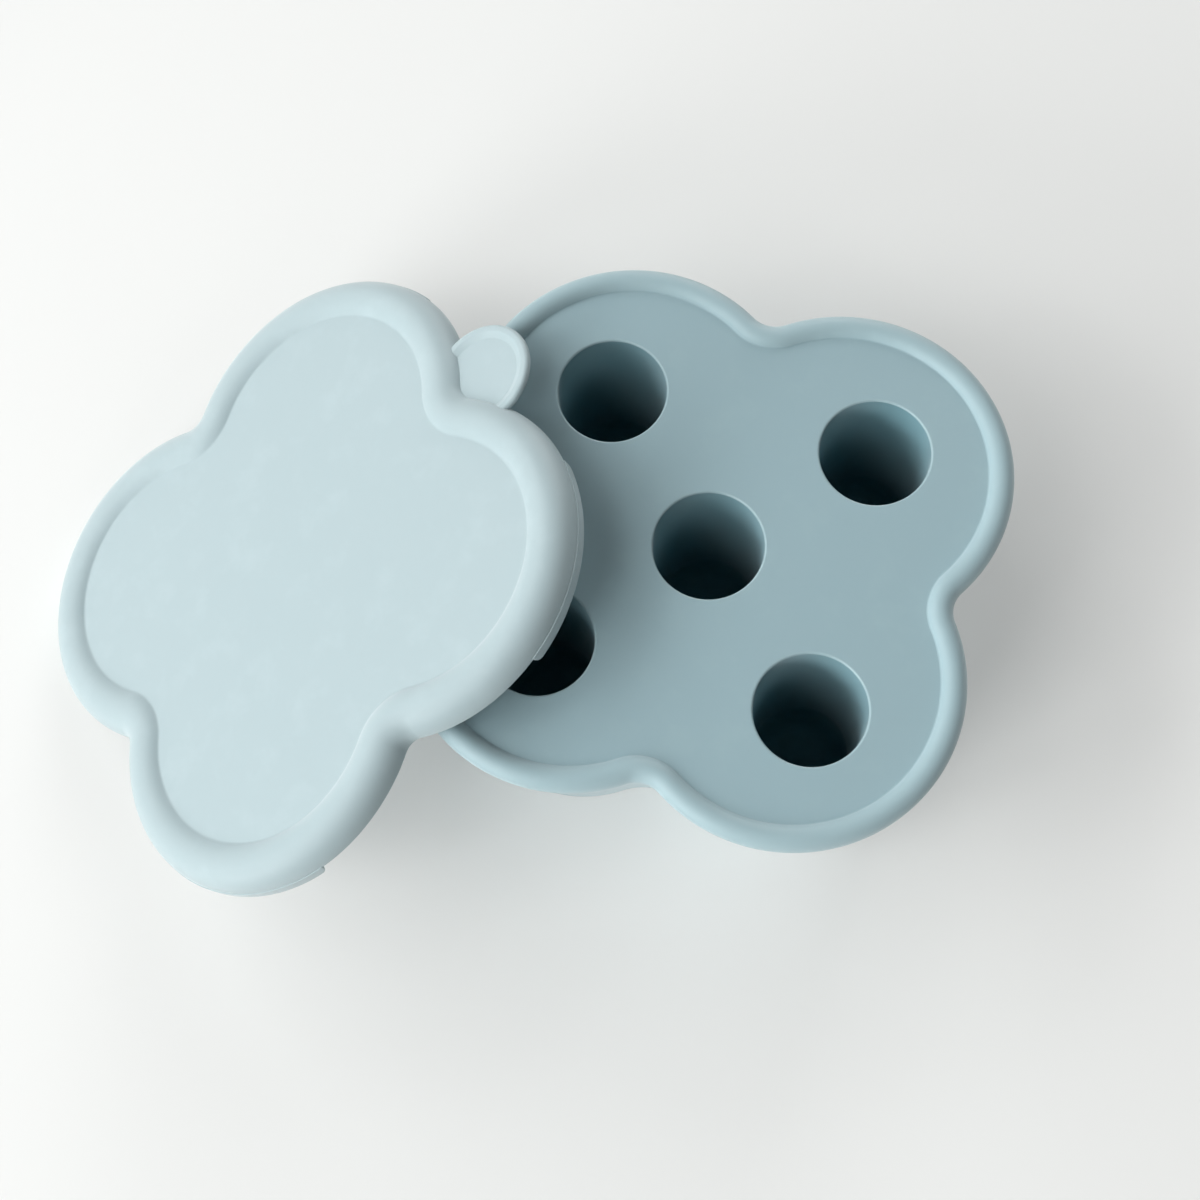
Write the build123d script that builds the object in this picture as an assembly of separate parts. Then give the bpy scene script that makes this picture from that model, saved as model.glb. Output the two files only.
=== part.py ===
from build123d import *

import math
import os

# Freezer tray for baby food: a four-lobed silicone tray with five deep wells, and the silicone
# lid that closes it. Both pieces are one moulding each. The tray stands on its foot with the
# origin under its centre. The lid is off, propped on the tray's rim with one lobe on the table.
# All sizes are millimetres and all angles are degrees.

# ---- outline shared by the tray and the lid: four round lobes joined by round notches ----------
lobe_offset = 24.6  # of each lobe's centre from the tray's centre, along X and along Y
lobe_radius = 34.4  # of a lobe
notch_radius = 10.3  # of the inward round between two lobes

# ---- tray ---------------------------------------------------------------------------------------
deck_height = 51.5  # top of the deck above the table
deck_thickness = 2.2
rim_radius = 3.0  # of the rolled rim's round section
rim_outset = 0.65  # of the middle of the rolled rim, outwards from the outline
rim_drop = 1.2  # of the middle of the rolled rim below the top of the deck
rim_crease_radius = 0.5  # round where the deck runs up into the rolled rim

wall_top_inset = 0.5  # of the outer wall from the outline, at the rim
foot_inset = 5.2  # of the outer wall from the outline, at the table
wall_thickness = 2.2

well_pitch = 61.2  # between the four outer wells, along X and along Y
well_mouth_radius = 12.5
well_floor_radius = 11.0
well_corner_radius = 6.0  # round between a well's side and its floor
well_edge_radius = 0.5  # rounded edge of a well's mouth
cup_wall = 2.2
cup_floor = 2.5

# ---- lid ----------------------------------------------------------------------------------------
lid_wall = 2.0
panel_thickness = 2.1
rim_clearance = 0.35  # between the outer sides of the two rims when the lid is on
lid_rim_sink = 0.5  # of the middle of the lid's rim below the middle of the tray's, when it is on
seat_clearance = 0.3  # between the panel and the deck when the lid is on
lid_crease_radius = 1.0  # round where the panel runs up into the lid's rim
skirt_drop = 0.1  # of the lid rim's bottom edge below the middle of the rim

lip_half_angle = 34.0  # each lobe's lip runs this far to both sides of the lobe's middle
lip_rise = 0.4  # of the lip's top edge above the middle of the rim
lip_drop = 2.0  # of the lip's bottom edge below the middle of the rim
lip_proud = 0.2  # step from the lid's rim out to the lip
lip_corner_radius = 1.8

tab_radius = 12.7
tab_outset = 0.85  # of the tab's centre, outwards from the middle of the notch's round
tab_thickness = 1.1  # of the tab inside its raised border
tab_border_width = 2.4
tab_border_height = 0.8
tab_edge_round = 0.7  # rounded edges of the border, and of the tab's lower side
tab_top_drop = 0.4  # of the border's top below the top of the panel
tab_bite = 0.6  # of the tab into the lid's rim, past the rim's inner face

# ---- how the lid lies ---------------------------------------------------------------------------
rest_gap = 0.3  # left between the lid and what it rests on
lean_length = 109.8  # down the slope, from the rim that props the lid to the lip on the table
lid_turn = 2.6  # from the slope's direction to the middle of the lobe that is on the table
lid_side_shift = 16.5  # of the lid's centre, square to the slope

# ---- worked-out sizes ---------------------------------------------------------------------------
notch_centre = lobe_offset + math.sqrt((lobe_radius + notch_radius) ** 2 - lobe_offset**2)
notch_half_angle = math.degrees(math.atan2(lobe_offset, notch_centre - lobe_offset))
lobe_start_angle = -notch_half_angle
lobe_sweep = 90 + 2 * notch_half_angle
lobe_middle = math.sqrt(2) * lobe_offset  # of a lobe's centre from the tray's centre

rim_height = deck_height - rim_drop
well_spots = [(0, 0)] + [(x * well_pitch / 2, y * well_pitch / 2) for x in (-1, 1) for y in (-1, 1)]

lid_rim_inner = rim_outset + rim_radius + rim_clearance
lid_rim_outer = lid_rim_inner + lid_wall
lid_seat = panel_thickness + seat_clearance
lid_rim_drop = lid_seat + rim_drop + lid_rim_sink  # of the rim's middle below the panel's top
skirt_bottom = lid_rim_drop + skirt_drop
lip_outer = lid_rim_outer + lip_proud
lip_bottom = lid_rim_drop + lip_drop
tab_bottom = tab_top_drop + tab_border_height + tab_thickness


def outline(offset):
    """Face of the four-lobed outline, moved outwards by offset, on the plane z = 0."""
    lobe_centre = (lobe_offset, lobe_offset)
    lobe = CenterArc(lobe_centre, lobe_radius + offset, lobe_start_angle, lobe_sweep)
    notch_start = notch_half_angle - 90
    notch = CenterArc((0, notch_centre), notch_radius - offset, notch_start, -2 * notch_half_angle)
    arcs = []
    for quarter in range(4):
        arcs += [Rot(0, 0, 90 * quarter) * lobe, Rot(0, 0, 90 * quarter) * notch]
    return make_face(Curve() + arcs)


def slab(offset, bottom, top):
    """Flat plate of the outline, between two heights."""
    return Pos(0, 0, bottom) * extrude(outline(offset), top - bottom)


def turned(section, centre, radius, start_angle, sweep):
    """Section turned about an upright axis. Its x is outwards from the radius, and its y is up."""
    start = Pos(*centre, 0) * Rot(0, 0, start_angle) * Pos(radius, 0, 0)
    return revolve(start * (Plane.XZ * section), Axis((*centre, 0), (0, 0, 1)), sweep)


def around(section):
    """Ring that follows the outline. The section's x is outwards from the outline, its y is up."""
    inside_out = mirror(section, about=Plane.YZ)
    lobe = turned(section, (lobe_offset, lobe_offset), lobe_radius, lobe_start_angle, lobe_sweep)
    notch_start = -90 - notch_half_angle
    notch = turned(inside_out, (0, notch_centre), notch_radius, notch_start, 2 * notch_half_angle)
    ring = Part()
    for quarter in range(4):
        ring += Rot(0, 0, 90 * quarter) * lobe
        ring += Rot(0, 0, 90 * quarter) * notch
    return ring


def tub(mouth_radius, floor_radius, height, corner_radius):
    """Solid of a well or of its cup: a cone with a rounded lower edge, standing on z = 0."""
    cone = Pos(0, 0, height / 2) * Cone(floor_radius, mouth_radius, height)
    return fillet(cone.edges().sort_by(Axis.Z)[0], corner_radius)


def make_wall():
    """Outer wall of the tray, from the rolled rim in to the foot."""
    top_outer = (-wall_top_inset, rim_height)
    top_inner = (-wall_top_inset - wall_thickness, rim_height)
    foot_outer = (-foot_inset, 0)
    foot_inner = (-foot_inset - wall_thickness, 0)
    return around(make_face(Polyline(top_outer, foot_outer, foot_inner, top_inner, close=True)))


def make_tray():
    tray = slab(0, deck_height - deck_thickness, deck_height)
    tray += around(Pos(rim_outset, rim_height) * Circle(rim_radius))
    tray += make_wall()
    cup_mouth = well_mouth_radius + cup_wall
    cup_height = deck_height - deck_thickness / 2
    cup = tub(cup_mouth, well_floor_radius + cup_wall, cup_height, well_corner_radius + cup_wall)
    well_depth = deck_height - cup_floor
    well = tub(well_mouth_radius, well_floor_radius, well_depth, well_corner_radius)
    for x, y in well_spots:
        tray += Pos(x, y, 0) * cup
    for x, y in well_spots:
        tray -= Pos(x, y, cup_floor) * well
    crease = edges_on_top(tray, deck_height).filter_by(lambda edge: not edge.is_closed)
    tray = fillet(crease, rim_crease_radius)
    mouths = edges_on_top(tray, deck_height).filter_by(lambda edge: edge.is_closed)
    return fillet(mouths, well_edge_radius)


def edges_on_top(solid, height):
    """Edges of the solid that lie flat at the height."""
    flat = solid.edges().filter_by(Plane.XY)
    return flat.filter_by_position(Axis.Z, height - 0.01, height + 0.01)


def make_lip():
    """Lip of the lobe that lies along +X from the centre of the lid, just proud of the lid's rim."""
    section = Rectangle(lid_wall, lip_rise + lip_drop, align=(Align.MAX, Align.MIN))
    section = Pos(lip_outer, -lip_bottom) * section
    lip = turned(section, (lobe_middle, 0), lobe_radius, -lip_half_angle, 2 * lip_half_angle)
    return fillet(lip.edges().group_by(Axis.Z)[0].filter_by(GeomType.LINE), lip_corner_radius)


def make_tab():
    """Half-round pull tab in the notch on +X, with a raised border round its thinner middle."""
    foot = Pos(notch_centre + tab_outset, 0, -tab_bottom)
    plate = foot * extrude(Circle(tab_radius), tab_thickness)
    ring = Circle(tab_radius) - Circle(tab_radius - tab_border_width)
    border = foot * extrude(ring, tab_thickness + tab_border_height)
    border = fillet(border.edges().group_by(Axis.Z)[-1], tab_edge_round)
    tab = plate + border
    tab = fillet(tab.edges().group_by(Axis.Z)[0], tab_edge_round)
    return tab - slab(lid_rim_inner + tab_bite, -tab_bottom, 0)


def make_lid():
    """The lid level, with the top of its panel on z = 0 and its centre on the Z axis."""
    tall = 4 * lid_rim_outer
    above_panel = Pos(0, -panel_thickness) * Rectangle(tall, tall, align=(Align.MAX, Align.MIN))
    above_skirt = Pos(0, -skirt_bottom) * Rectangle(tall, tall, align=(Align.MIN, Align.MIN))
    hoop = Pos(0, -lid_rim_drop) * (Circle(lid_rim_outer) - Circle(lid_rim_inner))
    rim = around(hoop & (above_panel + above_skirt))
    lid = rim + slab(-lid_rim_inner, -panel_thickness, 0)
    lid = fillet(edges_on_top(lid, 0), lid_crease_radius)
    lip = make_lip()
    for quarter in range(4):
        lid += Rot(0, 0, 45 + 90 * quarter) * lip
    return lid + make_tab()


def lean_location():
    """Where the lid lies: propped on two lobes of the tray's rim, with one lip on the table.

    In the upright plane along the slope, the underside of the lid's panel is a line that passes
    a circle round the middle of the tray's rim, and the lip hangs below that line at its lower
    end. The slope is skewed from -X so far that the lid's rim, in its notch, passes the next lobe.
    """
    off_rim = rim_radius + rest_gap
    hang = lip_bottom - panel_thickness - off_rim
    fall = rim_height - rest_gap
    lean = math.asin(fall / math.hypot(lean_length, hang)) - math.atan2(hang, lean_length)
    notch_hang = max(skirt_bottom, tab_bottom) - panel_thickness
    skew = math.asin(notch_hang / (2 * lobe_offset * math.sin(lean)))
    rim_reach = lobe_offset * (math.cos(skew) + math.sin(skew)) + lobe_radius + rim_outset
    lid_reach = lobe_middle * math.cos(math.radians(lid_turn)) + lobe_radius + lip_outer
    down_slope = lean_length - lid_reach
    above_rim = off_rim + panel_thickness
    along = rim_reach + down_slope * math.cos(lean) + above_rim * math.sin(lean)
    height = rim_height - down_slope * math.sin(lean) + above_rim * math.cos(lean)
    place = Rot(0, 0, 180 + math.degrees(skew)) * Pos(along, lid_side_shift, height)
    return place * Rot(0, math.degrees(lean), 0) * Rot(0, 0, lid_turn - 135)


os.makedirs("parts", exist_ok=True)
tray = make_tray()
level_lid = make_lid()
lid = lean_location() * level_lid
print("the lid leans by", lean_location().orientation, "about", lean_location().position)
for name, piece in (("tray", tray), ("lid", lid)):
    print(name, "volume", round(piece.volume), "mm3, reaching", piece.bounding_box())
    export_step(piece, "parts/" + name + ".step")
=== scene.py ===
# %% [markdown]
# # A silicone freezer tray for baby food
# The object is two soft mouldings: a tray with five deep wells, and the lid that was pulled off
# it and left leaning on its rim. Both have the same outline, four round lobes joined by round
# notches. A CAD model holds their sizes and places, and this script gives them their finish.
# It models each piece again as a smooth mesh, so that every round edge catches the light.

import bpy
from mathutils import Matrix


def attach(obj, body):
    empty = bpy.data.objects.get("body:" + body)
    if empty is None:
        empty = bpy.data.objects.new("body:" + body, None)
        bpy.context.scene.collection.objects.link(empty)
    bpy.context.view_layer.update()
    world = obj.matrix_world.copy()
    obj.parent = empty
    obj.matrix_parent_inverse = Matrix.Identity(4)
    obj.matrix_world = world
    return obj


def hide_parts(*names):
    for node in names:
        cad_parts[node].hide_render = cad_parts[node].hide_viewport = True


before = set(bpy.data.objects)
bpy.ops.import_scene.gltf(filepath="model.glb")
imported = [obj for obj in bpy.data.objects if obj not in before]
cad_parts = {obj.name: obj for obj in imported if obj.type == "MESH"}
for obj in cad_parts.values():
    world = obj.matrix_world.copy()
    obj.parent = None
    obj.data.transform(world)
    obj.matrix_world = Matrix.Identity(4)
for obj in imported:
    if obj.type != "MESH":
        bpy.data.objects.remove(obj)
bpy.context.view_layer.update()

# %% [markdown]
# Blender works in metres, but a tray like this is drawn in millimetres. The pieces are modelled
# in millimetres, where a wall is 2 and not 0.002, and each finished mesh is scaled down once.

# %% Units and libraries
import math

import bmesh
import bpy
from mathutils import Matrix, Vector

MM = 0.001
NEAR = 0.002  # millimetres within which two points are one
print("modelling in millimetres, with Blender", bpy.app.version_string)

# %% [markdown]
# The outline could be drawn as a curve and given thickness by a bevel object. Here it is a walk:
# a cross-section is spun about a lobe's centre, then the other way about a notch's centre, and
# so on round the tray. That way the section stays exactly square to the outline all the way.

# %% The shared outline
LOBE_OFFSET = 24.6
LOBE_RADIUS = 34.4
NOTCH_RADIUS = 10.3
notch_centre = LOBE_OFFSET + math.sqrt((LOBE_RADIUS + NOTCH_RADIUS) ** 2 - LOBE_OFFSET**2)
notch_half = math.degrees(math.atan2(LOBE_OFFSET, notch_centre - LOBE_OFFSET))
lobe_sweep = 90 + 2 * notch_half
print("a lobe turns", round(lobe_sweep, 1), "degrees and a notch turns back", round(2 * notch_half, 1))


def spin_round_outline(mesh, section, lobe_spans, notch_steps):
    """Spin a section of (out, up) points round the outline. A lobe span is (degrees, steps)."""
    lobe = Vector((LOBE_OFFSET, LOBE_OFFSET, 0))
    notch = Vector((0, notch_centre, 0))
    start = Matrix.Translation(lobe) @ Matrix.Rotation(-math.radians(notch_half), 4, "Z")
    points = [mesh.verts.new(start @ Vector((LOBE_RADIUS + out, 0, up))) for out, up in section]
    moving = points + [mesh.edges.new(pair) for pair in zip(points, points[1:])]
    spans = [(lobe, *span) for span in lobe_spans] + [(notch, -2 * notch_half, notch_steps)]
    for centre, degrees, steps in spans:
        turn = {"cent": centre, "axis": (0, 0, 1), "angle": math.radians(degrees), "steps": steps}
        moving = bmesh.ops.spin(mesh, geom=moving, **turn)["geom_last"]
    quarter = mesh.verts[:] + mesh.edges[:] + mesh.faces[:]
    for turns in (1, 2, 3):
        copy = bmesh.ops.duplicate(mesh, geom=quarter)["geom"]
        copied = [item for item in copy if isinstance(item, bmesh.types.BMVert)]
        bmesh.ops.rotate(mesh, verts=copied, matrix=Matrix.Rotation(math.radians(90 * turns), 3, "Z"))
    bmesh.ops.remove_doubles(mesh, verts=mesh.verts, dist=NEAR)


# %% [markdown]
# A section is a chain of points. Its straight stretches need only their ends, and its rounds need
# many points, because a spun mesh is as smooth as its section. Two helpers make the rounds.

# %% Round corners for sections
ROUND_STEP = 8  # degrees between points on a round


def arc(centre, radius, start, end, step=ROUND_STEP):
    """Points on an arc about (out, up), from one angle to another in degrees, ends included."""
    count = max(2, math.ceil(abs(end - start) / step))
    angles = [math.radians(start + (end - start) * i / count) for i in range(count + 1)]
    return [(centre[0] + radius * math.cos(a), centre[1] + radius * math.sin(a)) for a in angles]


def rounded(corners):
    """Chain of (out, up, round) corners, each round replaced by points on its arc."""
    chain = [corners[0][:2]]
    for before, here, after in zip(corners, corners[1:], corners[2:]):
        corner, radius = Vector(here[:2]), here[2]
        to_before = (Vector(before[:2]) - corner).normalized()
        to_after = (Vector(after[:2]) - corner).normalized()
        half = to_before.angle(to_after) / 2
        centre = corner + (to_before + to_after).normalized() * radius / math.sin(half)
        first = corner + to_before * radius / math.tan(half) - centre
        last = corner + to_after * radius / math.tan(half) - centre
        start = math.degrees(math.atan2(first.y, first.x))
        sweep = math.degrees(first.angle_signed(last, 0))
        chain += arc(centre, radius, start, start - sweep)
    return chain + [corners[-1][:2]]


print("a quarter round has", len(arc((0, 0), 1, 0, 90)), "points")

# %% [markdown]
# A bmesh is only a drawing until it becomes a mesh on an object. Each piece ends the same way: its
# faces are turned outwards, it is scaled to metres, and it is shaded smooth except where two
# faces meet sharply. Its volume and its open edges are printed, because a closed shell whose faces
# point outwards has a volume above zero and no open edges.

# %% From a bmesh to a finished piece
def as_object(mesh, name):
    """A new object that holds the bmesh, still in millimetres, with its faces outwards."""
    bmesh.ops.recalc_face_normals(mesh, faces=mesh.faces)
    data = bpy.data.meshes.new(name)
    mesh.to_mesh(data)
    mesh.free()
    piece = bpy.data.objects.new(name, data)
    bpy.context.scene.collection.objects.link(piece)
    return piece


def finish_piece(piece, place=Matrix.Identity(4), sharp_angle=40):
    """Scale a piece to metres, put its mesh in its place, and shade it smooth up to an angle."""
    piece.data.transform(place @ Matrix.Scale(MM, 4))
    piece.data.shade_smooth()
    piece.data.set_sharp_from_angle(angle=math.radians(sharp_angle))
    check = bmesh.new()
    check.from_mesh(piece.data)
    open_edges = sum(not edge.is_manifold for edge in check.edges)
    print(piece.name, "has", len(check.faces), "faces,", open_edges, "open edges and holds",
          round(check.calc_volume() / MM**3 / 1000, 1), "ml of silicone")
    check.free()
    return piece


# %% [markdown]
# The tray is moulded in one shot. Its deck runs up into a rolled rim, and under the rim a wall
# goes down to the foot. The whole of that is one section: deck, crease, rim, wall, foot, and up
# the inside again to the underside of the deck.

# %% The tray's section
DECK = 51.5
DECK_THICKNESS = 2.2
DECK_UNDERSIDE = DECK - DECK_THICKNESS
RIM_RADIUS = 3.0
RIM_OUTSET = 0.65
RIM_DROP = 1.2
CREASE_ROUND = 0.5
UNDER_RIM_ROUND = 1.0
WALL = 2.2
WALL_TOP_INSET = 0.5
FOOT_INSET = 5.2
FOOT_ROUND = 0.8
UNDERSIDE_ROUND = 1.5
BAND = 0.4  # flat strip that is kept between a round and the filled deck
rim_height = DECK - RIM_DROP


def crease_and_rim(middle, radius, drop, crease_round, level, rim_end):
    """From the flat at the level, up a concave round and over a rim whose middle is lower by drop."""
    reach = math.sqrt((radius + crease_round) ** 2 - (drop + crease_round) ** 2)
    lean = math.degrees(math.atan2(drop + crease_round, reach))
    crease = arc((middle - reach, level + crease_round), crease_round, -90, -lean)
    rim = arc((middle, level - drop), radius, 180 - lean, rim_end, ROUND_STEP / 2)
    return [(middle - reach - BAND, level)] + crease + rim[1:]


def tray_section():
    """From the deck, over the rim, down the wall and up its inside to the underside of the deck."""
    top, foot = Vector((-WALL_TOP_INSET, rim_height)), Vector((-FOOT_INSET, 0))
    up = (top - foot).normalized()
    out = Vector((up.y, -up.x))
    middle = Vector((RIM_OUTSET, rim_height))
    off_wall = UNDER_RIM_ROUND - out.dot(middle - top)
    below = math.sqrt((RIM_RADIUS + UNDER_RIM_ROUND) ** 2 - off_wall**2)
    nook = middle + out * off_wall - up * below
    to_rim = middle - nook
    rim_end = math.degrees(math.atan2(-to_rim.y, -to_rim.x))
    wall_turn = math.degrees(math.atan2(-out.y, -out.x)) % 360
    over = crease_and_rim(RIM_OUTSET, RIM_RADIUS, RIM_DROP, CREASE_ROUND, DECK, rim_end)
    under = arc(nook, UNDER_RIM_ROUND, rim_end + 180, wall_turn)
    inner_top = top.x - WALL - (top.y - DECK_UNDERSIDE) * up.x / up.y
    inside = rounded(
        [
            (*under[-1], 0),
            (foot.x, 0, FOOT_ROUND),
            (foot.x - WALL, 0, FOOT_ROUND),
            (inner_top, DECK_UNDERSIDE, UNDERSIDE_ROUND),
            (inner_top - UNDERSIDE_ROUND - BAND, DECK_UNDERSIDE, 0),
        ]
    )
    return over + under[1:] + inside[1:]


section = tray_section()
print("the tray's section has", len(section), "points")

# %% [markdown]
# Each well is a tapered cup with a rounded floor, so that a frozen portion slides out when the
# cup is pushed from below. The inside and the outside are two chains spun a full turn each.

# %% Wells and cups
WELL_PITCH = 61.2
MOUTH = 12.5
FLOOR = 11.0
WELL_FLOOR = 2.5
CORNER_ROUND = 6.0
MOUTH_ROUND = 0.5
CUP_WALL = 2.2
WELL_STEPS = 96
half_pitch = WELL_PITCH / 2
well_spots = [(0, 0)] + [(x * half_pitch, y * half_pitch) for x in (-1, 1) for y in (-1, 1)]
well_chain = rounded(
    [
        (MOUTH + MOUTH_ROUND + BAND, DECK, 0),
        (MOUTH, DECK, MOUTH_ROUND),
        (FLOOR, WELL_FLOOR, CORNER_ROUND),
        (0, WELL_FLOOR, 0),
    ]
)
cup_top = MOUTH + CUP_WALL
cup_chain = rounded(
    [
        (cup_top + UNDERSIDE_ROUND + BAND, DECK_UNDERSIDE, 0),
        (cup_top, DECK_UNDERSIDE, UNDERSIDE_ROUND),
        (FLOOR + CUP_WALL, 0, CORNER_ROUND + CUP_WALL),
        (0, 0, 0),
    ]
)
print(len(well_spots), "wells are", round(DECK - WELL_FLOOR, 1), "mm deep")


def spin_full_turn(mesh, chain, steps, centre=(0, 0)):
    """Spin a chain of (out, up) points a full turn about the upright line through the centre."""
    points = [mesh.verts.new((centre[0] + out, centre[1], up)) for out, up in chain]
    edges = [mesh.edges.new(pair) for pair in zip(points, points[1:])]
    turn = {"cent": (*centre, 0), "axis": (0, 0, 1), "angle": 2 * math.pi, "steps": steps}
    bmesh.ops.spin(mesh, geom=points + edges, use_merge=True, **turn)
    bmesh.ops.remove_doubles(mesh, verts=mesh.verts, dist=NEAR)


def fill_flat(mesh, level):
    """Fill the flat between the open edges that lie at one level, leaving their holes open."""
    rims = [e for e in mesh.edges if e.is_boundary and all(abs(v.co.z - level) < NEAR for v in e.verts)]
    bmesh.ops.triangle_fill(mesh, edges=rims, use_beauty=True)


# %% [markdown]
# Some faces get their finish by where they lie: on the deck, on the rim, or in between. The rim's
# paler skin is a painted highlight, and the deck's darker skin, which runs on over the crease, is
# painted shade there. Painting them by hand would do for one tray, but a rule also holds when a size
# changes. It needs the distance of a point from the outline, which is an arc about a lobe's centre or
# a notch's.

# %% Where a point lies
# Over the crease the deck's darker skin is painted shade, up to this height.
CREASE_SHADE_TOP = 0.3  # height above the deck up to which its darker skin runs on, over the crease
DECK_AND_CREASE_SHADE_SKIN, PAINTED_HIGHLIGHT_SKIN, PAINTED_SHADE_WELL_SKIN, EDGE_SKIN = 0, 1, 2, 3  # material slots


def from_lobe(point):
    """Angle of a point from the middle of its lobe in degrees, and how far outside the lobe."""
    centre = Vector((math.copysign(LOBE_OFFSET, point.x), math.copysign(LOBE_OFFSET, point.y)))
    arm = point.xy - centre
    return math.degrees(arm.angle_signed(centre)), arm.length - LOBE_RADIUS


def from_outline(point):
    """How far a point is outside the outline."""
    turn, out = from_lobe(point)
    if abs(turn) < lobe_sweep / 2:
        return out
    near, far = sorted((abs(point.x), abs(point.y)))
    return NOTCH_RADIUS - math.hypot(near, notch_centre - far)


def tray_slot(face):
    """Slot of a face of the deck, rim or wall: the deck's skin, painted shade over the crease, or the rim's
    paler skin, a painted highlight.
    """
    spot = face.calc_center_median()
    on_deck_or_crease = DECK - NEAR < spot.z < DECK + CREASE_SHADE_TOP and from_outline(spot) < RIM_OUTSET
    return DECK_AND_CREASE_SHADE_SKIN if on_deck_or_crease else PAINTED_HIGHLIGHT_SKIN


def well_slot(face, skin):
    """Slot of a face of a well or a cup: the deck's, the mouth edge's, or the skin given."""
    height = face.calc_center_median().z
    if height > DECK - NEAR:
        return DECK_AND_CREASE_SHADE_SKIN
    return EDGE_SKIN if height > DECK - MOUTH_ROUND else skin


print("the tip of a notch is", round(from_outline(Vector((0, notch_centre - NOTCH_RADIUS))), 6), "mm out")

# %% [markdown]
# Now the parts of the tray meet. The spun outline leaves the deck open in the middle, the wells
# stand inside it as loose shells, and two flat fills join them, one on top of the deck and one
# under it. Booleans could cut the wells instead, but fills keep every round clean.

# %% Build the tray
LOBE_STEPS = 72
NOTCH_STEPS = 24


def add_wells(mesh):
    """Stamp the two chains of a well, each spun once, at every spot."""
    stamp = bpy.data.meshes.new("well_stamp")
    # The inside of each well gets its darker skin, which is painted shade.
    for chain, skin in ((well_chain, PAINTED_SHADE_WELL_SKIN), (cup_chain, PAINTED_HIGHLIGHT_SKIN)):
        well = bmesh.new()
        spin_full_turn(well, chain, WELL_STEPS)
        for face in well.faces:
            face.material_index = well_slot(face, skin)
        for before, spot in zip([(0, 0)] + well_spots, well_spots):
            step = (spot[0] - before[0], spot[1] - before[1], 0)
            bmesh.ops.translate(well, vec=step, verts=well.verts)
            well.to_mesh(stamp)
            mesh.from_mesh(stamp)
        well.free()
    bpy.data.meshes.remove(stamp)


def build_tray():
    """The whole tray as one closed piece."""
    mesh = bmesh.new()
    spin_round_outline(mesh, section, [(lobe_sweep, LOBE_STEPS)], NOTCH_STEPS)
    for face in mesh.faces:
        face.material_index = tray_slot(face)
    add_wells(mesh)
    fill_flat(mesh, DECK)
    fill_flat(mesh, DECK_UNDERSIDE)
    return finish_piece(as_object(mesh, "moulded_tray"))


tray = build_tray()
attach(tray, "tray")
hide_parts("tray")

# %% [markdown]
# The lid is a thin panel inside a hollow rolled rim, which hugs the tray's rim when it is pressed
# on. It is modelled level, with the top of its panel at zero, and leaned over when it is done.

# %% The lid's section
PANEL = 2.1
LID_WALL = 2.0
RIM_CLEARANCE = 0.35
SEAT_CLEARANCE = 0.3
LID_RIM_SINK = 0.5
LID_CREASE_ROUND = 1.0
SKIRT_DROP = 0.1
LIP_RISE = 0.4  # of the lips' top edge above the middle of the rim
lid_inner = RIM_OUTSET + RIM_RADIUS + RIM_CLEARANCE
lid_outer = lid_inner + LID_WALL
lid_drop = PANEL + SEAT_CLEARANCE + RIM_DROP + LID_RIM_SINK
skirt = lid_drop + SKIRT_DROP
print("the lid's rim is a hoop of", round(lid_inner, 2), "to", round(lid_outer, 2), "mm radius")


def lid_section():
    """From the panel's top, over the rim, in under it and back along the panel's underside."""
    lip_top = math.degrees(math.asin(LIP_RISE / lid_outer))
    over = crease_and_rim(0, lid_outer, lid_drop, LID_CREASE_ROUND, 0, lip_top)
    low = -math.degrees(math.asin(SKIRT_DROP / lid_outer))
    side = arc((0, -lid_drop), lid_outer, lip_top, low)
    inner_low = -math.degrees(math.asin(SKIRT_DROP / lid_inner))
    meets_panel = 180 - math.degrees(math.asin((lid_drop - PANEL) / lid_inner))
    inside = arc((0, -lid_drop), lid_inner, inner_low, meets_panel)
    return over + side[1:] + inside + [(over[0][0], -PANEL)]


# %% [markdown]
# On each lobe a lip hangs below the rim and helps it grip. The lips are drawn out of the rim with
# two extrusions: its lower edge goes down, and then its outer face goes out by a fifth of a
# millimetre. That small step is the fine line that runs round the side of the real lid.

# %% Lips of the lid
LIP_HALF_ANGLE = 34.0
LIP_DROP = 2.0
LIP_PROUD = 0.2
LIP_CORNER = 1.8
FACE_DEPTH = 0.1  # how far in from the rim's outer side a face still counts as being on it
lip_outer = lid_outer + LIP_PROUD
lip_bottom = lid_drop + LIP_DROP
lip_corner_turn = math.degrees(LIP_CORNER / (LOBE_RADIUS + lip_outer))
print("each lip is", round(math.radians(2 * LIP_HALF_ANGLE) * (LOBE_RADIUS + lip_outer)), "mm long")


def extruded(mesh, faces):
    """Extrude faces where they lie, and return the new points."""
    made = bmesh.ops.extrude_face_region(mesh, geom=faces)["geom"]
    bmesh.ops.delete(mesh, geom=faces, context="FACES_ONLY")
    return [item for item in made if isinstance(item, bmesh.types.BMVert)]


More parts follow.
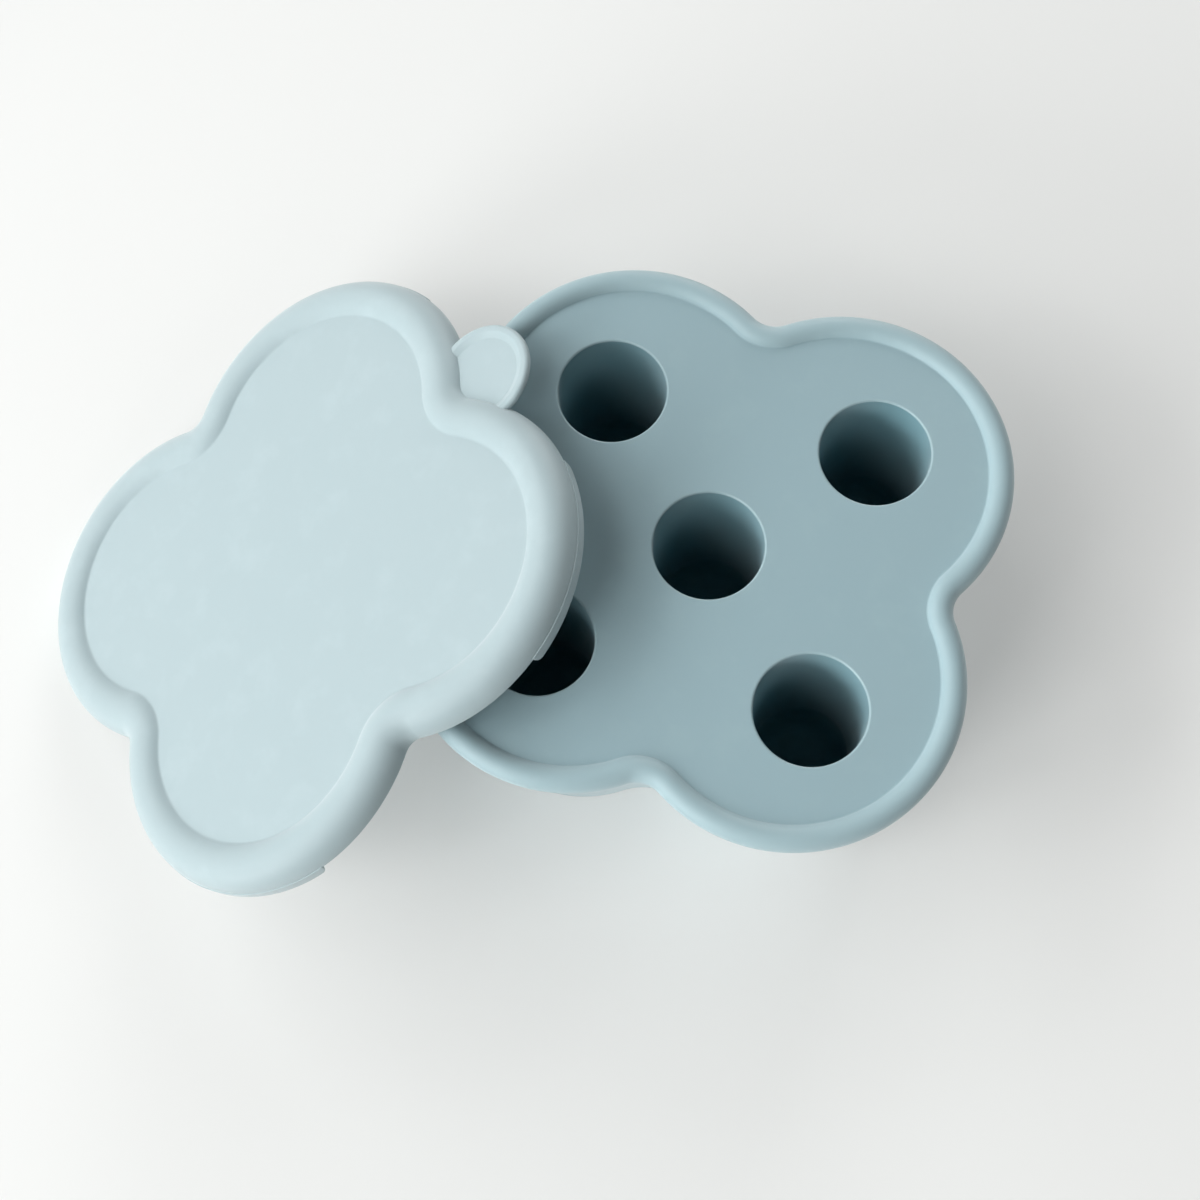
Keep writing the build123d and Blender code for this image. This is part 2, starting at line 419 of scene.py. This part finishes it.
def pull_out_lips(mesh):
    """Extrude the lips' lower edges down, with a round at both ends, and their outer faces out."""
    on_lip = [f for f in mesh.faces if abs(from_lobe(f.calc_center_median())[0]) < LIP_HALF_ANGLE]
    under = [f for f in on_lip if all(abs(v.co.z + skirt) < NEAR for v in f.verts)]
    for vert in extruded(mesh, under):
        turn = LIP_HALF_ANGLE - abs(from_lobe(vert.co)[0])
        short = max(0, LIP_CORNER - math.radians(turn) * (LOBE_RADIUS + lip_outer))
        vert.co.z = -lip_bottom + LIP_CORNER - math.sqrt(LIP_CORNER**2 - min(short, LIP_CORNER) ** 2)
    lip_top = -lid_drop + LIP_RISE + NEAR
    outer = []
    for face in mesh.faces:
        turn, out = from_lobe(face.calc_center_median())
        on_face = abs(turn) < LIP_HALF_ANGLE and out > lid_outer - FACE_DEPTH
        if on_face and max(vert.co.z for vert in face.verts) < lip_top:
            outer.append(face)
    for vert in extruded(mesh, outer):
        centre = Vector((math.copysign(LOBE_OFFSET, vert.co.x), math.copysign(LOBE_OFFSET, vert.co.y)))
        vert.co.xy = centre + (vert.co.xy - centre).normalized() * (LOBE_RADIUS + lip_outer)


# %% [markdown]
# The rim, panel and lips are one closed shell. Only its sharp edges are left, such as the lips'
# lower edges, and a mould never makes those quite sharp, so a small bevel takes them off.

# %% Build the lid's rim and panel
EDGE_ROUND = 0.1
EDGE_ANGLE = 50  # degrees between two faces from which their edge is rounded
SIDE_STEPS, LIP_CORNER_STEPS, LIP_STEPS = 24, 6, 48
LID_NOTCH_STEPS = 32


def build_lid_shell():
    """The rim, panel and lips of the lid, level."""
    mesh = bmesh.new()
    side = (lobe_sweep / 2 - LIP_HALF_ANGLE, SIDE_STEPS)
    corner = (lip_corner_turn, LIP_CORNER_STEPS)
    lip = (2 * (LIP_HALF_ANGLE - lip_corner_turn), LIP_STEPS)
    spin_round_outline(mesh, lid_section(), [side, corner, lip, corner, side], LID_NOTCH_STEPS)
    fill_flat(mesh, 0)
    fill_flat(mesh, -PANEL)
    bmesh.ops.recalc_face_normals(mesh, faces=mesh.faces)
    pull_out_lips(mesh)
    bmesh.ops.recalc_face_normals(mesh, faces=mesh.faces)
    sharp = [e for e in mesh.edges if e.is_convex and e.calc_face_angle(0) > math.radians(EDGE_ANGLE)]
    bmesh.ops.bevel(
        mesh, geom=sharp, offset=EDGE_ROUND, segments=2, profile=0.5, affect="EDGES", material=-1
    )
    return as_object(mesh, "moulded_lid")


lid = build_lid_shell()
print("the rim, panel and lips have", len(lid.data.polygons), "faces")

# %% [markdown]
# The pull tab sits in one notch. It is a disc with a raised round border, cut to the outline so
# that it ends inside the rim's wall, and joined to the rim. Two booleans do that on closed
# meshes, and the cut faces end up inside the wall, where they vanish in the union.

# %% The pull tab
TAB_RADIUS = 12.7
TAB_OUTSET = 0.85
TAB = 1.1
TAB_BORDER = 2.4
TAB_BORDER_HEIGHT = 0.8
TAB_TOP_ROUND = 0.95
TAB_INNER_ROUND = 0.9
TAB_FOOT_ROUND = 0.9
TAB_UNDER_ROUND = 0.8
TAB_TOP_DROP = 0.4
TAB_BITE = 0.6
TAB_SLOPE_FOOT = 0.9  # how far the border's inner slope runs in below the border's flat width
TAB_SLOPE_TOP = 0.6  # and out above it
TAB_STEPS = 128
tab_bottom = TAB_TOP_DROP + TAB_BORDER_HEIGHT + TAB
tab_floor = -TAB_TOP_DROP - TAB_BORDER_HEIGHT
tab_chain = rounded(
    [
        (0, tab_floor, 0),
        (TAB_RADIUS - TAB_BORDER - TAB_SLOPE_FOOT, tab_floor, TAB_FOOT_ROUND),
        (TAB_RADIUS - TAB_BORDER + TAB_SLOPE_TOP, -TAB_TOP_DROP, TAB_INNER_ROUND),
        (TAB_RADIUS, -TAB_TOP_DROP, TAB_TOP_ROUND),
        (TAB_RADIUS, -tab_bottom, TAB_UNDER_ROUND),
        (0, -tab_bottom, 0),
    ]
)


def boolean(piece, other, operation):
    """Cut or join another object into a piece, and remove the other object."""
    modifier = piece.modifiers.new("boolean", "BOOLEAN")
    modifier.operation = operation
    modifier.solver = "EXACT"
    modifier.object = other
    made = bpy.data.meshes.new_from_object(piece.evaluated_get(bpy.context.evaluated_depsgraph_get()))
    piece.modifiers.clear()
    piece.data = made
    bpy.data.objects.remove(other)


def build_tab():
    """The pull tab, cut off inside the wall of the lid's rim."""
    disc = bmesh.new()
    spin_full_turn(disc, tab_chain, TAB_STEPS, centre=(notch_centre + TAB_OUTSET, 0))
    tab = as_object(disc, "pull_tab")
    block = bmesh.new()
    reach = lid_inner + TAB_BITE
    side = [(reach, -2 * tab_bottom), (reach, tab_bottom)]
    spin_round_outline(block, side, [(lobe_sweep, LOBE_STEPS)], LID_NOTCH_STEPS)
    fill_flat(block, -2 * tab_bottom)
    fill_flat(block, tab_bottom)
    boolean(tab, as_object(block, "outline_block"), "DIFFERENCE")
    return tab


boolean(lid, build_tab(), "UNION")
print("with its tab the lid has", len(lid.data.polygons), "faces")

# %% [markdown]
# The lid leans as it does in the CAD model. In the upright plane along its slope, the underside
# of its panel passes over the tray's rim and its lowest lip comes down to the table, and that
# gives the angle. The slope is skewed a little, so that the lid also passes the next lobe.

# %% Lean the lid on the tray
REST_GAP = 0.3
LEAN_LENGTH = 109.8
LID_TURN = 2.6
LID_SIDE_SHIFT = 16.5


def lean_place():
    """Where the lid lies: propped on two lobes of the tray's rim, with one lip on the table."""
    off_rim = RIM_RADIUS + REST_GAP
    hang = lip_bottom - PANEL - off_rim
    fall = rim_height - REST_GAP
    lean = math.asin(fall / math.hypot(LEAN_LENGTH, hang)) - math.atan2(hang, LEAN_LENGTH)
    notch_hang = max(skirt, tab_bottom) - PANEL
    skew = math.asin(notch_hang / (2 * LOBE_OFFSET * math.sin(lean)))
    rim_reach = LOBE_OFFSET * (math.cos(skew) + math.sin(skew)) + LOBE_RADIUS + RIM_OUTSET
    lobe_middle = math.sqrt(2) * LOBE_OFFSET
    down_slope = LEAN_LENGTH - lobe_middle * math.cos(math.radians(LID_TURN)) - LOBE_RADIUS - lip_outer
    above_rim = off_rim + PANEL
    along = rim_reach + down_slope * math.cos(lean) + above_rim * math.sin(lean)
    height = rim_height - down_slope * math.sin(lean) + above_rim * math.cos(lean)
    print("the lid leans at", round(math.degrees(lean), 1), "degrees")
    heading = Matrix.Rotation(math.pi + skew, 4, "Z")
    centre = Matrix.Translation((along, LID_SIDE_SHIFT, height))
    turn = Matrix.Rotation(math.radians(LID_TURN - 135), 4, "Z")
    place = heading @ centre @ Matrix.Rotation(lean, 4, "Y") @ turn
    return Matrix.Scale(MM, 4) @ place @ Matrix.Scale(1 / MM, 4)


finish_piece(lid, lean_place())
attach(lid, "lid")
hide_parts("lid")

# %% [markdown]
# ## The silicone
# Both pieces are platinum-cured silicone, a soft rubber that was pressed in a steel mould. Where
# the steel was blasted, the silicone is matte: the eye sees a soft, slightly chalky colour and no
# sharp reflections. Where it was polished, as in the wells, there is a dull gloss. Light also goes
# about a millimetre in, so that thin edges look lighter than solid places. A paler colour at the
# edges could stand in for that, but subsurface scattering holds from every side.

# %% Colours and nodes
def linear(hex_colour):
    """An sRGB hex colour as the linear colour that a shader wants."""
    parts = [int(hex_colour[i : i + 2], 16) / 255 for i in (1, 3, 5)]
    return [*(c / 12.92 if c <= 0.04045 else ((c + 0.055) / 1.055) ** 2.4 for c in parts), 1]


def add_node(tree, kind, settings, inputs):
    """Add a node. Its inputs, by name or number, are values or the outputs of other nodes."""
    node = tree.nodes.new("ShaderNode" + kind)
    for name, value in settings.items():
        setattr(node, name, value)
    for name, value in inputs.items():
        if isinstance(value, bpy.types.NodeSocket):
            tree.links.new(value, node.inputs[name])
        else:
            node.inputs[name].default_value = value
    return node.outputs


print("a middle grey of #808080 is", round(linear("#808080")[0], 3), "in linear light")

# %% [markdown]
# A moulding is never quite one colour or quite flat. Its skin has faint cloudy patches, which are
# a bloom of silica or the mark of a hand, its flats sink a tenth of a millimetre as it cools, and
# the blasted steel gives it a fine grain. Three noises on Object coordinates make those, at their
# real sizes, so that they stay in place when the piece moves.

# %% Moulded silicone
SILICONE_IOR = 1.41
SHEEN = 0.35  # the chalkiness of a matte rubber that is seen at a low angle
LIGHT_SHARE = 0.3  # of the light goes in and comes out again beside where it went in
LIGHT_DEPTH = 1.2 * MM
CLOUD_SIZE = 9 * MM
SINK_SIZE = 22 * MM
SINK_DEPTH = 0.12 * MM
GRAIN_SIZE = 0.45 * MM  # blasting leaves pits of 0.05 mm, which is too fine to show
BLASTED = 0.006 * MM  # depth of the grain
POLISHED = 0.001 * MM


def moulded_silicone(name, colour, bloom, roughness, grain_depth):
    """Silicone from a mould. The bloom is the paler colour of its cloudy patches."""
    material = bpy.data.materials.new(name)
    material.use_nodes = True
    tree = material.node_tree
    tree.nodes.clear()
    place = add_node(tree, "TexCoord", {}, {})["Object"]
    look = {"Vector": place, "Scale": 1 / CLOUD_SIZE, "Detail": 3.0, "Roughness": 0.6}
    cloud = add_node(tree, "TexNoise", {}, look)["Fac"]
    band = {"Value": cloud, "From Min": 0.52, "From Max": 0.78}
    patches = add_node(tree, "MapRange", {}, band)["Result"]
    colours = {0: patches, 6: linear(colour), 7: linear(bloom)}
    skin = add_node(tree, "Mix", {"data_type": "RGBA"}, colours)[2]
    sink = add_node(tree, "TexNoise", {}, {"Vector": place, "Scale": 1 / SINK_SIZE, "Detail": 1.0})["Fac"]
    slow = add_node(tree, "Bump", {}, {"Height": sink, "Distance": SINK_DEPTH})["Normal"]
    grain = add_node(tree, "TexNoise", {}, {"Vector": place, "Scale": 1 / GRAIN_SIZE, "Detail": 2.0})["Fac"]
    fine = add_node(tree, "Bump", {}, {"Height": grain, "Distance": grain_depth, "Normal": slow})["Normal"]
    rubber = {
        "Base Color": skin,
        "Roughness": roughness,
        "IOR": SILICONE_IOR,
        "Subsurface Weight": LIGHT_SHARE,
        "Subsurface Radius": (1.0, 1.0, 1.0),
        "Subsurface Scale": LIGHT_DEPTH,
        "Sheen Weight": SHEEN,
        "Sheen Roughness": 0.5,
        "Normal": fine,
    }
    shader = add_node(tree, "BsdfPrincipled", {}, rubber)["BSDF"]
    add_node(tree, "OutputMaterial", {}, {"Surface": shader})
    print(name, "has", len(tree.nodes), "nodes")
    return material


# %% [markdown]
# The tray has four skins. Its deck is blasted, and so are the rim and the wall. The rim is a solid
# roll, and it and the wall are a little paler, which is a painted highlight that stops short of the
# crease, where the deck's darker skin runs on as painted shade. The wells are polished, so that the
# portions let go, and their darker colour is painted shade. The edge of each mouth is polished too,
# and catches light as a fine pale line. The lid is blasted all over; its paler colour is painted light.

# %% Skins of the tray and the lid
tray_skins = [
    # The deck's colour, carried over the crease, is painted shade there.
    moulded_silicone("blasted_silicone_deck_and_crease_shade", "#96B0B7", "#99B3B9", 0.47, BLASTED),
    # The rim's paler colour, also on the wall and the cups, is a painted highlight.
    moulded_silicone("blasted_silicone_rim_painted_highlight", "#9EB7BD", "#A0B9BF", 0.47, BLASTED),
    # The wells' darker colour is painted shade.
    moulded_silicone("polished_silicone_well_painted_shade", "#6A959F", "#6E98A2", 0.42, POLISHED),
    moulded_silicone("polished_silicone_edge", "#9BB4BA", "#9EB7BC", 0.3, POLISHED),
]
for skin in tray_skins:
    tray.data.materials.append(skin)
# The lid's paler colour is painted light: the same silicone as the tray, made paler where more light falls.
lid_painted_light_skin = moulded_silicone("blasted_silicone_lid_painted_light", "#A6B8BC", "#AABCC0", 0.5, BLASTED)
lid.data.materials.append(lid_painted_light_skin)

# %% [markdown]
# ## Stage, light and camera
# The tray stands on a plain white table. A curved backdrop would do as well, but from above the
# table fills the picture. It is painted board: matte, and a little rough from the roller, which is
# enough for a soft shadow and no mirror image. A fifth of what the camera sees of it is the plain
# white of the walls, which lights nothing, so that shadows stay pale. Further out that share
# grows, until the table ends in the walls with no edge.

# %% Table
TABLE_SIDE = 3.0
ROLLER_GRAIN = 0.8 * MM
ROLLER_DEPTH = 0.004 * MM
PAINT_IOR = 1.5
PAINT_ROUGHNESS = 0.9
PAINT_COLOUR = "#EAEBE9"
WALL_COLOUR = "#EEF0EF"
WHITE_SHARE = 0.22
FADE_FROM = 0.22  # metres from the middle of the table
FADE_TO = 0.42


def seeing_rays(tree):
    """Outputs that are 1 for a ray from the camera, and for a ray that a gloss or a glass bent."""
    ray = add_node(tree, "LightPath", {}, {})
    bent = {0: ray["Is Glossy Ray"], 1: ray["Is Transmission Ray"]}
    return ray["Is Camera Ray"], add_node(tree, "Math", {"operation": "MAXIMUM"}, bent)[0]


def build_table():
    mesh = bmesh.new()
    bmesh.ops.create_grid(mesh, x_segments=1, y_segments=1, size=TABLE_SIDE / 2)
    data = bpy.data.meshes.new("table_top")
    mesh.to_mesh(data)
    mesh.free()
    table = bpy.data.objects.new("table_top", data)
    bpy.context.scene.collection.objects.link(table)
    return table


def rolled_paint(name):
    """Matte paint that was put on with a roller, and that ends in the white of the walls."""
    material = bpy.data.materials.new(name)
    material.use_nodes = True
    tree = material.node_tree
    tree.nodes.clear()
    place = add_node(tree, "TexCoord", {}, {})["Object"]
    stipple = {"Vector": place, "Scale": 1 / ROLLER_GRAIN, "Detail": 2.0}
    grain = add_node(tree, "TexNoise", {}, stipple)["Fac"]
    fine = add_node(tree, "Bump", {}, {"Height": grain, "Distance": ROLLER_DEPTH})["Normal"]
    coat = {
        "Base Color": linear(PAINT_COLOUR),
        "Roughness": PAINT_ROUGHNESS,
        "IOR": PAINT_IOR,
        "Normal": fine,
    }
    paint = add_node(tree, "BsdfPrincipled", {}, coat)["BSDF"]
    white = add_node(tree, "Emission", {}, {"Color": linear(WALL_COLOUR), "Strength": 1.0})["Emission"]
    away = add_node(tree, "VectorMath", {"operation": "LENGTH"}, {0: place})["Value"]
    fade = {"Value": away, "From Min": FADE_FROM, "From Max": FADE_TO, "To Min": WHITE_SHARE, "To Max": 1.0}
    whiteness = add_node(tree, "MapRange", {"interpolation_type": "SMOOTHSTEP"}, fade)["Result"]
    camera_ray, bent_ray = seeing_rays(tree)
    seen = add_node(tree, "Math", {"operation": "MAXIMUM"}, {0: camera_ray, 1: bent_ray})[0]
    share = add_node(tree, "Math", {"operation": "MULTIPLY"}, {0: seen, 1: whiteness})[0]
    both = add_node(tree, "MixShader", {}, {0: share, 1: paint, 2: white})["Shader"]
    add_node(tree, "OutputMaterial", {}, {"Surface": both})
    return material


table = build_table()
table.data.materials.append(rolled_paint("rolled_matte_paint"))
print("the table is", TABLE_SIDE, "m wide")

# %% [markdown]
# The camera looks down on the tray from 43 cm above the table, turned a little to the left. Its
# lens is a short telephoto, so that the round wells stay nearly round. Three angles in degrees and
# a place in metres hold its pose, and no target object is needed.

# %% Camera
CAMERA_AT = Vector((0.0307, -0.1242, 0.4263))
CAMERA_TURN = (17.114, 3.103, 15.556)
CAMERA_LENS = 53.49
camera_data = bpy.data.cameras.new("camera")
camera_data.lens = CAMERA_LENS
camera = bpy.data.objects.new("camera", camera_data)
camera.location = CAMERA_AT
camera.rotation_euler = [math.radians(degrees) for degrees in CAMERA_TURN]
bpy.context.scene.collection.objects.link(camera)
bpy.context.scene.camera = camera
print("the camera is", round(CAMERA_AT.length / MM), "mm from the middle of the tray's foot")

# %% [markdown]
# Daylight from a wide window is soft but has a side. One big panel would give the side, and
# nothing would fill the shadows. Eleven panels on a dome do both: the strong ones stand in front and
# on the left, where the window is, and the weak ones behind and on the right are the room's walls.

# %% Soft panels
STAGE_MIDDLE = Vector((-0.04, -0.015, 0.02))
PANEL_AWAY = 1.8
PANEL_SIDE = 0.75
PANELS = [  # azimuth and elevation in degrees, and power in watts
    (90, 18, 8.6),
    (240, 18, 16.9),
    (0, 35, 2.8),
    (90, 35, 5.0),
    (150, 35, 6.5),
    (180, 35, 6.1),
    (210, 35, 12.5),
    (240, 35, 2.2),
    (300, 35, 2.0),
    (180, 55, 2.5),
    (240, 55, 6.5),
]
for azimuth, elevation, power in PANELS:
    panel_light = bpy.data.lights.new("soft_panel", "AREA")
    panel_light.size = PANEL_SIDE
    panel_light.energy = power
    panel = bpy.data.objects.new("soft_panel", panel_light)
    swing = Matrix.Rotation(math.radians(azimuth), 4, "Z")
    tilt = Matrix.Rotation(math.radians(90 - elevation), 4, "Y")
    out = Matrix.Translation((0, 0, PANEL_AWAY))
    panel.matrix_world = Matrix.Translation(STAGE_MIDDLE) @ swing @ tilt @ out
    bpy.context.scene.collection.objects.link(panel)
print(len(PANELS), "panels give", round(sum(power for *_, power in PANELS), 1), "watts")

# %% [markdown]
# The room has white walls and an unlit ceiling. The camera and reflections see the walls, but they
# add no light of their own, because the panels already stand for it. The ceiling stays dark in
# reflections, so that the floors of the wells are dark too.

# %% White walls
WALL_TOP = 0.2  # height of a direction, as a share of its length, at which the walls end
CEILING = 0.5


def white_room():
    """A world that is white to the camera, and a band of wall to reflections."""
    room = bpy.data.worlds.new("white_room")
    room.use_nodes = True
    tree = room.node_tree
    tree.nodes.clear()
    camera_ray, bent_ray = seeing_rays(tree)
    towards = add_node(tree, "TexCoord", {}, {})["Generated"]
    height = add_node(tree, "SeparateXYZ", {}, {"Vector": towards})["Z"]
    band = {"Value": height, "From Min": WALL_TOP, "From Max": CEILING, "To Min": 1.0, "To Max": 0.0}
    wall = add_node(tree, "MapRange", {}, band)["Result"]
    reflected = add_node(tree, "Math", {"operation": "MULTIPLY"}, {0: bent_ray, 1: wall})[0]
    seen = add_node(tree, "Math", {"operation": "MAXIMUM"}, {0: camera_ray, 1: reflected})[0]
    light = add_node(tree, "Background", {}, {"Color": linear(WALL_COLOUR), "Strength": seen})["Background"]
    add_node(tree, "OutputWorld", {}, {"Surface": light})
    return room


bpy.context.scene.world = white_room()
bpy.context.scene.view_settings.view_transform = "Standard"
print("the walls are", WALL_COLOUR)

# %% [markdown]
# Last, the view layer is updated. The visual model should fill the CAD model's box and not leave it.

# %% Update the view layer
bpy.context.view_layer.update()
